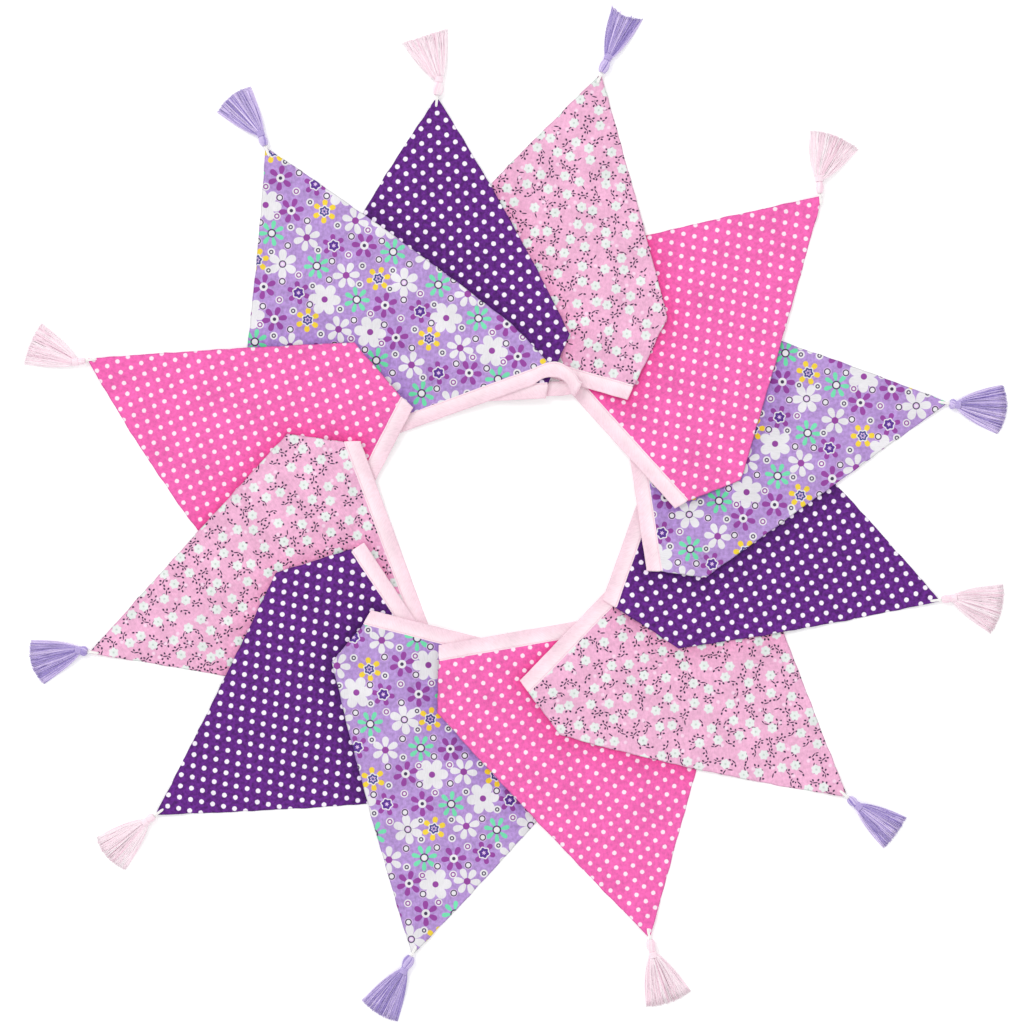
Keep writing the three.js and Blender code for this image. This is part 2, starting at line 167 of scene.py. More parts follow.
# Soft creases left in the cloth: which pennant, and the crease's two ends
CREASES = (
    (5, (151.1, -113.9), (183.9, -160.1)),
)


def direction(degrees):
    angle = np.radians(degrees)
    return np.stack([np.cos(angle), np.sin(angle)], axis=-1)


def left_of(vector):
    return np.stack([-vector[..., 1], vector[..., 0]], axis=-1)


def mix(a, b, share):
    return a + (b - a) * share


def smooth(low, high, value):
    share = np.clip((value - low) / (high - low), 0, 1)
    return share * share * (3 - 2 * share)


def unit(vectors):
    return vectors / np.linalg.norm(vectors, axis=-1, keepdims=True)


# Plan of the pennants and the tape

def lay_out(row):
    pennant = SimpleNamespace(**dict(zip(PENNANT_COLUMNS, row)))
    pennant.along = direction(pennant.heading)
    pennant.across = left_of(pennant.along)
    pennant.tip = np.array([pennant.tip_x, pennant.tip_y])
    back = direction(pennant.heading - 90 - pennant.top_tilt)
    to_tip = -left_of(back)

    def at(length, half):
        return pennant.tip + pennant.along * length + pennant.across * half

    inner_corner = at(pennant.top_at, pennant.top_half)

    def from_corner(length, depth):
        return inner_corner + back * length + to_tip * depth

    blunt = TIP_BLUNT * pennant.shoulder_half / pennant.shoulder_at
    cloth_depth = TAPE_WIDTH - TAPE_TUCK
    pennant.tape_heading = -back
    pennant.tape_start = from_corner(TOP_WIDTH, TAPE_WIDTH / 2)
    pennant.tape_end = from_corner(0, TAPE_WIDTH / 2)
    pennant.tie_start = (from_corner(TIE_LEAVES_AT, TAPE_WIDTH), from_corner(TIE_LEAVES_AT, 0))
    pennant.outline = np.array([
        pennant.tip,
        at(pennant.shoulder_at / 2, -pennant.shoulder_half / 2 - max(pennant.hidden_bow, 0)),
        at(pennant.shoulder_at, -pennant.shoulder_half),
        from_corner(TOP_WIDTH, 0),
        inner_corner,
        at(pennant.shoulder_at, pennant.shoulder_half),
        at(pennant.shoulder_at / 2, pennant.shoulder_half / 2 + max(pennant.clockwise_bow, 0)),
    ])
    pennant.clockwise_edge = SimpleNamespace(
        tip=at(-TIP_REACH, blunt / 2),
        shoulder=at(pennant.shoulder_at, pennant.shoulder_half),
        top=from_corner(-TOP_CORNER_FLARE, cloth_depth),
        swell=pennant.across * pennant.clockwise_bow,
    )
    pennant.hidden_edge = SimpleNamespace(
        tip=at(-TIP_REACH, -blunt / 2),
        shoulder=at(pennant.shoulder_at, -pennant.shoulder_half),
        top=from_corner(TOP_WIDTH + TOP_CORNER_FLARE, cloth_depth),
        swell=-pennant.across * pennant.hidden_bow,
    )
    return pennant


pennants = [lay_out(row) for row in PENNANT_ROWS]
tassels = [SimpleNamespace(**dict(zip(TASSEL_COLUMNS, row))) for row in TASSEL_ROWS]


def fold_line(point, incoming, outgoing, side):
    """A flat fold turns the tape from one heading to the other about a slanted line."""
    normal = unit(incoming - outgoing)
    left = left_of(incoming) * side * TAPE_WIDTH / 2
    slide = -(left @ normal) / (incoming @ normal)
    return SimpleNamespace(
        normal=normal,
        outer=point + left + incoming * slide,
        inner=point - left - incoming * slide,
    )


def fold_pair(pennant, following):
    """The tape folds under at the end of a pennant, and down again at the start of the next."""
    back = unit(following.tape_start - pennant.tape_end)
    under = fold_line(pennant.tape_end, pennant.tape_heading, back, 1)
    down = fold_line(following.tape_start, back, following.tape_heading, -1)
    return under, down


folds = [fold_pair(pennants[k], pennants[k + 1]) for k in range(len(pennants) - 1)]
tie_arch = np.array(TIE_ARCH_ROWS)
tie_tail = np.array(TIE_TAIL_ROWS)


# The stack of layers, which runs clockwise and closes on itself

def signed_area(outline):
    """The area inside an outline, above 0 where it runs counter-clockwise."""
    following = np.roll(outline, -1, axis=0)
    return np.sum(outline[:, 0] * following[:, 1] - outline[:, 1] * following[:, 0]) / 2


def counter_clockwise(outline):
    return outline if signed_area(outline) > 0 else outline[::-1]


layers = {}
for number, pennant in enumerate(pennants):
    layers[f"pennant {number}"] = counter_clockwise(pennant.outline)
    if number < len(folds):
        under, down = folds[number]
        corners = np.array([under.outer, under.inner, down.inner, down.outer])
        layers[f"return {number}"] = counter_clockwise(corners)
    if number == 0:
        first, last = tie_tail[0], tie_tail[-1]
        layers["tail"] = counter_clockwise(np.array([first[:2], first[2:4], last[2:4], last[:2]]))
layer_names = list(layers)


def distance_outside(outline, points):
    """How far points lie outside a convex outline, or 0 within it."""
    inside = np.ones(len(points), bool)
    nearest = np.full(len(points), np.inf)
    for start, end in zip(outline, np.roll(outline, -1, axis=0)):
        edge = end - start
        offset = points - start
        inside &= offset[:, 0] * edge[1] - offset[:, 1] * edge[0] <= 0
        share = np.clip(offset @ edge / (edge @ edge), 0, 1)
        nearest = np.minimum(nearest, np.linalg.norm(offset - share[:, None] * edge, axis=1))
    return np.where(inside, 0, nearest)


def drape(distance, margin, length):
    return 1 - smooth(margin, margin + length, distance)


def layer_heights(name, points):
    """Underside of one layer: each lies on what is below it and drapes past its edges."""
    lifts = [drape(distance_outside(layers[n], points), DRAPE_MARGIN, DRAPE_LENGTH) for n in layer_names]
    heights = [np.zeros(len(points)) for _ in layer_names]
    for _ in range(STACK_PASSES):
        for k in reversed(range(len(layer_names))):
            for down in range(1, LAYERS_BELOW + 1):
                below = (k + down) % len(layer_names)
                raised = lifts[below] * (heights[below] + CLOTH_THICK + LAYER_GAP)
                heights[k] = np.maximum(heights[k], raised)
    return heights[layer_names.index(name)]


# Object and mesh helpers

def add_object(name, data):
    added = bpy.data.objects.new(name, data)
    bpy.context.scene.collection.objects.link(added)
    return added


def make_piece(name, vertices, faces, material):
    mesh = bpy.data.meshes.new(name)
    mesh.from_pydata((np.asarray(vertices) * MM).tolist(), [], faces)
    mesh.polygons.foreach_set("use_smooth", np.ones(len(mesh.polygons), bool))
    mesh.materials.append(material)
    mesh.update()
    piece = add_object(name, mesh)
    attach(piece, "root")
    return piece


def add_place(piece, places):
    """Where each vertex lies on the flat cloth, for its print and weave."""
    attribute = piece.data.attributes.new("cloth_place", "FLOAT_VECTOR", "POINT")
    flat = np.zeros((len(places), 3))
    flat[:, :2] = places
    attribute.data.foreach_set("vector", flat.ravel())


def add_values(piece, name, values):
    """One number for each vertex, such as how light its thread is."""
    attribute = piece.data.attributes.new(name, "FLOAT", "POINT")
    attribute.data.foreach_set("value", np.asarray(values, float))


def grid_faces(index):
    """Quads between neighbouring entries of a grid of vertex numbers."""
    corners = (index[:-1, :-1], index[:-1, 1:], index[1:, 1:], index[1:, :-1])
    return np.stack([corner.ravel() for corner in corners], axis=1).tolist()


def tubes(paths, reference, radius, sides, closed=False):
    """Round threads along paths, an array of tubes by points by 3."""
    count, length = paths.shape[:2]
    if closed:
        tangents = np.roll(paths, -1, axis=1) - np.roll(paths, 1, axis=1)
    else:
        tangents = np.gradient(paths, axis=1)
    tangents = unit(tangents)
    sideways = unit(np.cross(tangents, reference))
    lift = np.cross(sideways, tangents)
    angles = np.linspace(0, 2 * np.pi, sides, endpoint=False)
    radii = np.broadcast_to(radius, paths.shape[:2])[:, :, None, None]
    turn = np.cos(angles)[:, None] * sideways[:, :, None] + np.sin(angles)[:, None] * lift[:, :, None]
    vertices = (paths[:, :, None] + radii * turn).reshape(-1, 3)
    index = np.arange(count * length * sides).reshape(count, length, sides)
    faces = []
    for tube in index:
        ring = np.concatenate([tube, tube[:, :1]], axis=1)
        if closed:
            ring = np.concatenate([ring, ring[:1]])
        faces += grid_faces(ring.T)
        if not closed:
            faces += [tube[0].tolist(), tube[-1][::-1].tolist()]
    return vertices, faces


def path_lengths(points):
    """How far along a path each of its points lies."""
    return np.concatenate([[0], np.cumsum(np.linalg.norm(np.diff(points, axis=0), axis=1))])


def gather(parts):
    """Joins several lists of vertices and faces into one."""
    vertices, faces = [], []
    start = 0
    for part_vertices, part_faces in parts:
        vertices.append(part_vertices)
        faces += [[corner + start for corner in face] for face in part_faces]
        start += len(part_vertices)
    return np.concatenate(vertices), faces


# Pennant cloths

def edge_points(edge, shares):
    """Points on a pennant's side: a swelling long edge to the shoulder, then straight to the top."""
    reached = np.minimum(shares / SHOULDER_SHARE, 1)[:, None]
    short = np.clip((shares - SHOULDER_SHARE) / (1 - SHOULDER_SHARE), 0, 1)[:, None]
    long_edge = mix(edge.tip, edge.shoulder, reached) + edge.swell * 4 * reached * (1 - reached)
    return long_edge + (edge.top - edge.shoulder) * short


def ripple(values, periods, generator):
    """A gentle wave of several periods, between about -1 and 1."""
    total = np.zeros_like(values)
    for period in periods:
        total += np.sin(2 * np.pi * (values / period + generator.random()))
    return total / len(periods)


# Unevenness of the cloths: wandering edges, puckered seams, waves, creases and pulls from the tape
TIP_STEADY_SHARE = 0.06
NARROW_RIM = 2.5
EDGE_PERIODS = (11, 17, 29, 53)
EDGE_WANDER = 0.45
PUCKER_HEIGHT = 0.16
PUCKER_FADE = 6
WAVE_LENGTHS = (21, 29, 38, 55, 85)
WAVE_HEIGHT = 0.75
WAVE_FADE = 22
CREASE_HEIGHT = 0.4
CREASE_HALF_WIDTH = 1.3
PULLS = 7
PULL_HEIGHT = 0.2
PULL_HALF_WIDTH = 2.2
PULL_START = 0.95
PULL_START_RANGE = 0.35
PULL_SIDE_RANGE = 1.5
PULL_SWING = 70
PULL_LENGTH = 30
PULL_LENGTH_RANGE = 55
PRINT_SHIFT = 100

# A cloth gets painted shade beside the pennant that lies over it: its colour is darkened and deepened
# there, fading out with distance from that pennant's edge
COVER_SHADE = 0.6
COVER_FADE = 8


def cloth_grid(pennant, generator):
    """Rows of points from the tip to the tape, and how far each point is from the cloth's edge."""
    shares = np.linspace(0, 1, CLOTH_ROWS + 1)
    lengths = shares * pennant.top_at
    shown = edge_points(pennant.clockwise_edge, shares)
    hidden = edge_points(pennant.hidden_edge, shares)
    fade = smooth(0, TIP_STEADY_SHARE, shares)[:, None] * EDGE_WANDER
    shown = shown + pennant.across * ripple(lengths, EDGE_PERIODS, generator)[:, None] * fade
    hidden = hidden + pennant.across * ripple(lengths, EDGE_PERIODS, generator)[:, None] * fade
    widths = np.linalg.norm(hidden - shown, axis=1)[:, None]
    rim = RIM_STEPS * np.minimum(1, widths / (NARROW_RIM * RIM_STEPS[-1])) / widths
    middle_shares = np.linspace(0, 1, CLOTH_COLUMNS + 2)[1:-1]
    middle = mix(rim[:, -1:], 1 - rim[:, -1:], middle_shares)
    columns = np.concatenate([rim, middle, 1 - rim[:, ::-1]], axis=1)
    points = mix(shown[:, None], hidden[:, None], columns[:, :, None])
    to_sides = np.minimum(columns, 1 - columns) * widths
    to_ends = np.minimum(lengths, lengths[::-1])[:, None]
    return points, np.minimum(to_sides, to_ends)


def cloth_waves(points, inset, generator):
    """Slight waves that all layers share, and each pennant's own puckers along its turned seams."""
    shared = np.random.default_rng(WAVE_SEED)
    waves = np.zeros(len(points))
    for wave_length in WAVE_LENGTHS:
        way = direction(shared.random() * 360)
        waves += np.sin(2 * np.pi * (points @ way / wave_length + shared.random()))
    waves = WAVE_HEIGHT * (0.5 + 0.5 * waves / len(WAVE_LENGTHS)) * smooth(0, WAVE_FADE, inset)
    way = direction(generator.random() * 360)
    puckers = ripple(points @ way, EDGE_PERIODS, generator)
    return waves + PUCKER_HEIGHT * puckers * np.exp(-inset / PUCKER_FADE)


def ridge(points, start, end, half_width):
    """A soft ridge along a line that fades out at both ends, 1 at its highest."""
    edge = np.subtract(end, start)
    offset = points - start
    share = np.clip(offset @ edge / (edge @ edge), 0, 1)
    distance = np.linalg.norm(offset - share[:, None] * edge, axis=1)
    return np.sin(np.pi * share) * np.exp(-(distance / half_width) ** 2)


def crease_height(number, points, generator):
    """The creases that show, and a few faint pulls that run down from the tape."""
    height = np.zeros(len(points))
    for pennant_number, start, end in CREASES:
        if pennant_number == number:
            height += CREASE_HEIGHT * ridge(points, start, end, CREASE_HALF_WIDTH)
    pennant = pennants[number]
    for _ in range(PULLS):
        side, near, far, drift = generator.random(4)
        start = pennant.tip + pennant.along * pennant.top_at * (PULL_START - PULL_START_RANGE * near)
        start = start + pennant.across * (side - 0.5) * PULL_SIDE_RANGE * pennant.top_half
        way = direction(pennant.heading + 180 + PULL_SWING * (drift - 0.5))
        end = start + way * (PULL_LENGTH + PULL_LENGTH_RANGE * far)
        height += PULL_HEIGHT * ridge(points, start, end, PULL_HALF_WIDTH)
    return height


def make_cloth(number, material):
    pennant = pennants[number]
    generator = np.random.default_rng(CLOTH_SEED + number)
    grid, inset_grid = cloth_grid(pennant, generator)
    points = grid.reshape(-1, 2)
    inset = inset_grid.ravel()

    tip_distance = np.linalg.norm(points - pennant.tip, axis=1)
    tip_lift = (2 * THREAD_RADIUS + THREAD_CLEARANCE) * drape(tip_distance, TIP_LEVEL, TIP_DRAPE)
    underside = np.maximum(layer_heights(f"pennant {number}", points), tip_lift)
    half = mix(RIM_HALF_THICK, MIDDLE_HALF_THICK, smooth(SEAM_WIDTH - SEAM_FADE, SEAM_WIDTH, inset))
    half *= np.sqrt(1 - (1 - np.minimum(inset / EDGE_ROUNDING, 1)) ** 2)
    middle = underside + CLOTH_THICK / 2 + cloth_waves(points, inset, generator)
    middle = np.maximum(middle, half) + crease_height(number, points, generator)

    rows, columns = inset_grid.shape
    top_index = np.arange(rows * columns).reshape(rows, columns)
    bottom_index = top_index.copy()
    inner = np.zeros((rows, columns), bool)
    inner[1:-1, 1:-1] = True
    bottom_index[inner] = rows * columns + np.arange(inner.sum())
    kept = inner.ravel()
    top = np.column_stack([points, np.where(kept, middle + half, middle)])
    bottom = np.column_stack([points, middle - half])[kept]
    faces = grid_faces(top_index) + grid_faces(bottom_index[:, ::-1])

    name = f"cloth_{number + 1:02d}"
    piece = make_piece(name, np.concatenate([top, bottom]), faces, material)
    offset = points - pennant.tip
    flat = np.column_stack([offset @ pennant.across, offset @ pennant.along])
    turn = direction(pennant.print_turn)
    flat = np.column_stack([flat @ turn, flat @ left_of(turn)]) + generator.random(2) * PRINT_SHIFT
    add_place(piece, np.concatenate([flat, flat[kept]]))
    add_values(piece, "edge_inset", np.concatenate([inset, inset[kept]]))
    # Painted shade on this cloth beside the pennant that lies over it
    cover = layers[f"pennant {(number - 1) % len(pennants)}"]
    covered = COVER_SHADE * np.exp(-distance_outside(cover, points) / COVER_FADE)
    add_values(piece, "cover_shade", np.concatenate([covered, covered[kept]]))
    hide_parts(f"pennant_{number + 1:02d}")

    area = signed_area(layers[f"pennant {number}"])
    return piece


# Binding tape

FLAT_STEP = 2.5
TURN_STEPS = 10
TIE_STEPS = 6
TAPE_ACROSS = np.array([0, 0.12, 0.35, 0.75, 1.2, 1.65, 2.4, 4.2, 6.4, 8.4, 9.6, 10.35, 10.58, 10.7])
STITCH_INSET = 1.2
STITCH_GROOVE = 0.16
STITCH_GROOVE_HALF = 0.4
TAPE_CROWN = 0.1
TAPE_WANDER = 0.16
TAPE_PUCKER = 0.08


def tape_rows(name, outer, inner, side, rise=0.0):
    """Flat cross rows of the tape: two edge points each, and the way the tape's face looks."""
    lift = rise + TAPE_HALF_THICK
    face = np.zeros((len(outer), 3))
    face[:, 2] = side
    return SimpleNamespace(
        outer=np.column_stack([outer, layer_heights(name, outer) + lift]),
        inner=np.column_stack([inner, layer_heights(name, inner) + lift]),
        face=face,
    )


def straight_rows(name, start, end, side):
    """Rows from one slanted end of a straight stretch to the other."""
    length = np.linalg.norm((end[0] + end[1] - start[0] - start[1]) / 2)
    shares = np.linspace(0, 1, max(int(length / FLAT_STEP), 4) + 1)[:, None]
    return tape_rows(name, mix(start[0], end[0], shares), mix(start[1], end[1], shares), side)


def curved(rows):
    """A smooth curve through table rows, with several steps between each two."""
    padded = np.concatenate([[2 * rows[0] - rows[1]], rows, [2 * rows[-1] - rows[-2]]])
    steps = []
    for a, b, c, d in zip(padded, padded[1:], padded[2:], padded[3:]):
        for t in np.linspace(0, 1, TIE_STEPS, endpoint=False):
            even = 2 * a - 5 * b + 4 * c - d
            odd = 3 * b - a - 3 * c + d
            steps.append(0.5 * (2 * b + (c - a) * t + even * t * t + odd * t ** 3))
    return np.array([*steps, rows[-1]])


def turn_rows(upper, lower, normal, side):
    """Rows of the half turn between an upper row and the row that it folds down to."""
    angles = np.pi * np.arange(1, TURN_STEPS) / TURN_STEPS
    outward = np.column_stack([np.outer(np.sin(angles), normal), np.cos(angles)])

    def turned(high, low):
        return (high + low) / 2 + outward * (high[2] - low[2]) / 2

    return SimpleNamespace(
        outer=turned(upper.outer[-1], lower.outer[0]),
        inner=turned(upper.inner[-1], lower.inner[0]),
        face=outward * side,
    )


def tape_stretches():
    """Every flat stretch of the tape from its hidden start to its tucked tail, with its end's fold."""
    square = left_of(pennants[0].tape_heading) * TAPE_WIDTH / 2
    start = (pennants[0].tape_start + square, pennants[0].tape_start - square)
    stretches = []
    for k, (under, down) in enumerate(folds):
        under_ends = (under.outer, under.inner)
        down_ends = (down.outer, down.inner)
        shown = straight_rows(f"pennant {k}", start, under_ends, 1)
        returning = straight_rows(f"return {k}", under_ends, down_ends, -1)
        stretches.append((shown, under.normal, 1))
        stretches.append((returning, down.normal, -1))
        start = down_ends
    last = f"pennant {len(pennants) - 1}"
    tie_start = pennants[-1].tie_start
    shown = straight_rows(last, start, tie_start, 1)
    arch = curved(np.concatenate([[[*tie_start[0], *tie_start[1], 0]], tie_arch]))[1:]
    arch_rows = tape_rows(last, arch[:, :2], arch[:, 2:4], 1, arch[:, 4])
    turn_edge = tie_arch[-1]
    turn_normal = unit(left_of(turn_edge[2:4] - turn_edge[:2]))
    tail = curved(tie_tail)
    stretches.append((joined([shown, arch_rows]), turn_normal, 1))
    stretches.append((tape_rows("tail", tail[:, :2], tail[:, 2:4], -1), None, -1))
    return stretches


def joined(parts):
    return SimpleNamespace(
        outer=np.concatenate([part.outer for part in parts]),
        inner=np.concatenate([part.inner for part in parts]),
        face=np.concatenate([part.face for part in parts]),
    )


def tape_profile():
    """Half thickness across the tape: rounded edges, a soft crown and a groove under the stitches."""
    inset = np.minimum(TAPE_ACROSS, TAPE_WIDTH - TAPE_ACROSS)
    half = TAPE_HALF_THICK + TAPE_CROWN * np.sin(np.pi * TAPE_ACROSS / TAPE_WIDTH)
    half -= STITCH_GROOVE * np.exp(-((TAPE_ACROSS - STITCH_INSET) / STITCH_GROOVE_HALF) ** 2)
    return half * np.sqrt(1 - (1 - np.minimum(inset / EDGE_ROUNDING, 1)) ** 2)


def make_tape(material):
    stretches = tape_stretches()
    parts = []
    for k, (rows, normal, side) in enumerate(stretches):
        parts.append(rows)
        if normal is not None:
            parts.append(turn_rows(rows, stretches[k + 1][0], normal, side))
    rows = joined(parts)
    middle = (rows.outer + rows.inner) / 2
    lengths = path_lengths(middle)

    generator = np.random.default_rng(TAPE_SEED)
    level = np.abs(rows.face[:, 2:]) ** 4
    out = unit(rows.outer - rows.inner)
    wander_outer = ripple(lengths, EDGE_PERIODS, generator)[:, None] * TAPE_WANDER * level
    wander_inner = ripple(lengths, EDGE_PERIODS, generator)[:, None] * TAPE_WANDER * level
    pucker = ripple(lengths, EDGE_PERIODS, generator)[:, None] * TAPE_PUCKER * level
    rows.outer = rows.outer + out * wander_outer + rows.face * pucker
    rows.inner = rows.inner + out * wander_inner

    half = tape_profile()
    across = np.concatenate([TAPE_ACROSS, TAPE_ACROSS[-2:0:-1]])
    height = np.concatenate([half, -half[-2:0:-1]])
    centres = mix(rows.outer[:, None], rows.inner[:, None], (across / TAPE_WIDTH)[:, None])
    vertices = centres + rows.face[:, None] * height[:, None]
    vertices[:, :, 2] = np.maximum(vertices[:, :, 2], 0)
    count, around = vertices.shape[:2]
    index = np.arange(count * around).reshape(count, around)
    ring = np.concatenate([index, index[:, :1]], axis=1)
    faces = grid_faces(ring) + [index[0][::-1].tolist(), index[-1].tolist()]
    tape = make_piece("binding", vertices.reshape(-1, 3), faces, material)
    places = np.stack(np.broadcast_arrays(across[None, :], lengths[:, None]), axis=-1)
    add_place(tape, places.reshape(-1, 2))
    add_values(tape, "edge_inset", np.tile(np.minimum(across, TAPE_WIDTH - across), count))
    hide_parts("binding_tape")
    return tape, lengths[-1], [rows for rows, _, side in stretches if side == 1]


STITCH_LENGTH = 2.5
STITCH_PITCH = 3.2
STITCH_RADIUS = 0.17
STITCH_SINK = 0.3
STITCH_POINTS = 6
STITCH_SIDES = 5

# A thread's tone runs from 0, its darkest, to 1
PLAIN_TONE = 0.5


def make_stitches(stretches, material):
    """One row of sewing along the tape's cloth-side edge."""
    paths = []
    for rows in stretches:
        line = mix(rows.outer, rows.inner, STITCH_INSET / TAPE_WIDTH)
        line = line + rows.face * (TAPE_HALF_THICK - STITCH_GROOVE / 2)
        lengths = path_lengths(line)
        for start in np.arange(STITCH_PITCH, lengths[-1] - STITCH_PITCH, STITCH_PITCH):
            along = np.linspace(start, start + STITCH_LENGTH, STITCH_POINTS)
            path = np.column_stack([np.interp(along, lengths, line[:, axis]) for axis in range(3)])
            arch = np.sin(np.linspace(0, np.pi, STITCH_POINTS))
            path[:, 2] -= STITCH_SINK * (1 - np.minimum(1, 2 * arch))
            paths.append(path)
    vertices, faces = tubes(np.array(paths), np.array([0, 0, 1.0]), STITCH_RADIUS, STITCH_SIDES)
    stitches = make_piece("binding_stitches", vertices, faces, material)
    add_values(stitches, "thread_tone", np.full(len(vertices), PLAIN_TONE))
    return stitches


# Thread loops and tassels, in a frame with the pennant's tip at the origin and the neck along +X

LOOP_POINTS = 40
LOOP_SIDES = 8
LOOP_STRANDS = 2
LOOP_STRAND_GAP = 0.8


def to_world(vertices, tip, angle):
    cosine, sine = math.cos(angle), math.sin(angle)
    turned = np.array(vertices, float)
    turned[:, 0] = tip[0] + cosine * vertices[:, 0] - sine * vertices[:, 1]
    turned[:, 1] = tip[1] + sine * vertices[:, 0] + cosine * vertices[:, 1]
    return turned


def make_loop(number, angle, material):
    """A doubled white thread through the tip and the tassel's head."""
    straight = (LOOP_INSIDE_TIP + LOOP_PAST_TIP) / 2 - LOOP_HALF_HEIGHT
    middle = (LOOP_PAST_TIP - LOOP_INSIDE_TIP) / 2
    angles = np.linspace(0, 2 * np.pi, LOOP_POINTS, endpoint=False) + np.pi / LOOP_POINTS
    x = middle + straight * np.sign(np.cos(angles)) + LOOP_HALF_HEIGHT * np.cos(angles)
    z = THREAD_RADIUS + LOOP_HALF_HEIGHT * (1 + np.sin(angles))
    strands = []
    for strand in range(LOOP_STRANDS):
        offset = (strand - (LOOP_STRANDS - 1) / 2) * LOOP_STRAND_GAP
        y = offset * (1 - 0.5 * np.cos(angles) ** 2)
        strands.append(np.column_stack([x, y, z]))
    sideways = np.array([0, 1.0, 0])
    vertices, faces = tubes(np.array(strands), sideways, THREAD_RADIUS, LOOP_SIDES, closed=True)
    vertices = to_world(vertices, pennants[number].tip, angle)
    loop = make_piece(f"loop_{number + 1:02d}", vertices, faces, material)
    add_values(loop, "thread_tone", np.full(len(vertices), PLAIN_TONE))
    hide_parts(f"thread_loop_{number + 1:02d}")


HEAD_POINTS = 12
SKIRT_POINTS = 8
SKIRT_FLOOR = 0.35
SKIRT_END_DEPTH = 1.5
SKIRT_NECK_DEPTH = 2.6
HEAD_SIDES = 5
HEAD_START_SHARE = 0.08
HEAD_LEAN = 0.8
HEAD_FULLNESS = 0.7
HEAD_NECK_SHARE = 0.52
SKIRT_SIDES = 4
WRAP_POINTS = 24
WRAP_SPACING = 1.5
WRAP_SLANT = 0.25
WRAP_SINK = 0.6
WRAP_TONE = 0.45
HEAD_TONE = 0.1
HEAD_TONE_RANGE = 0.7
CLUMP_TONE_SHARE = 0.75
SKIRT_JITTER = 0.008
PARTING_SHARPNESS = 25
SWING_SPREAD = 0.8
CUT_SPREAD = 0.35
BOW_SPREAD = 0.5
NECK_INSET = 0.4
HOLLOW_LEVEL = 0.45
SKIRT_EDGE_SHARE = 0.45
SKIRT_LANDS = 0.8


def head_threads(neck_distance, width):
    """Threads that run over the head from the neck to its loop and back, in a slight twist."""
    shares = np.linspace(0, 1, HEAD_POINTS)[None, :]
    angles = np.linspace(0, 2 * np.pi, HEAD_THREADS, endpoint=False)[:, None] + HEAD_TWIST * shares
    swell = np.sin(np.pi * mix(HEAD_START_SHARE, 1, shares) ** HEAD_LEAN) ** HEAD_FULLNESS
    swell = np.maximum(swell, HEAD_NECK_SHARE * smooth(0.5, 1, shares))
    x = mix(HEAD_START, neck_distance, shares) + 0 * angles
    y = np.cos(angles) * swell * (width / 2 - HEAD_THREAD_RADIUS)
    z = HEAD_LIFT + HEAD_HEIGHT / 2 + np.sin(angles) * swell * (HEAD_HEIGHT / 2 - HEAD_THREAD_RADIUS)
    around = np.stack([0 * angles, -np.sin(angles), np.cos(angles)], axis=-1)
    return np.stack([x, y, z], axis=-1), around


def neck_wraps(neck_distance):
    """The thread wound round the neck."""
    angles = np.linspace(0, 2 * np.pi, WRAP_POINTS, endpoint=False)[None, :]
    places = (np.arange(NECK_WRAPS) - (NECK_WRAPS - 1) / 2)[:, None] * WRAP_SPACING * HEAD_THREAD_RADIUS
    x = neck_distance + places + WRAP_SLANT * np.sin(angles)
    y = np.cos(angles) * NECK_HALF + 0 * places
    z = HEAD_LIFT + HEAD_HEIGHT / 2 + np.sin(angles) * (HEAD_HEIGHT / 2 - WRAP_SINK) + 0 * places
    return np.stack([x, y, z], axis=-1)


def skirt_threads(tassel, neck_distance, turn, generator):
    """Loose threads that fan out from the neck and lie down on the floor."""
    places = np.linspace(-0.5, 0.5, SKIRT_THREADS) + generator.normal(0, SKIRT_JITTER, SKIRT_THREADS)
    depth = generator.random(SKIRT_THREADS)
    opened = places + tassel.parting * np.tanh(places * PARTING_SHARPNESS)
    heading = tassel.heading - turn
    stray = np.where(generator.random(SKIRT_THREADS) < STRAY_SHARE, STRAY_SWING, 1)
    swing = opened * 2 * tassel.half_spread + generator.normal(0, SWING_SPREAD, SKIRT_THREADS) * stray
    swing = np.clip(swing, -tassel.half_spread, tassel.half_spread)
    forward = direction(heading)
    left = left_of(forward)
    neck = np.array([neck_distance, 0]) - forward
    start = neck + np.outer(places * 2 * (NECK_HALF - NECK_INSET), left)
    hollow = tassel.hollow * ((2 * places) ** 2 - HOLLOW_LEVEL)
    reach = tassel.reach + hollow + generator.normal(0, CUT_SPREAD, SKIRT_THREADS)
    shares = np.linspace(0, 1, SKIRT_POINTS)
    bow = generator.normal(0, BOW_SPREAD, SKIRT_THREADS)
    fan = direction(swing) * (reach + 1)[:, None]
    aside = np.outer(fan[:, 1], shares ** SKIRT_FLARE) + np.outer(bow, np.sin(np.pi * shares))
    flat = start[:, None] + np.outer(fan[:, 0], shares)[:, :, None] * forward + aside[:, :, None] * left
    arch = 1 - (2 * places) ** 2
    low = SKIRT_FLOOR + depth * SKIRT_END_DEPTH * mix(SKIRT_EDGE_SHARE, 1, arch)
    high = HEAD_LIFT + HEAD_HEIGHT / 2 + (depth - 0.5) * SKIRT_NECK_DEPTH * np.sqrt(np.maximum(arch, 0.05))
    height = mix(high[:, None], low[:, None], smooth(0, SKIRT_LANDS, shares)[None, :])
    paths = np.concatenate([flat, height[:, :, None]], axis=2)
    clump = np.clip((places + 0.5) * SKIRT_CLUMPS, 0, SKIRT_CLUMPS - 1).astype(int)
    clump_tone = generator.random(SKIRT_CLUMPS)[clump]
    return paths, mix(generator.random(SKIRT_THREADS), clump_tone, CLUMP_TONE_SHARE)


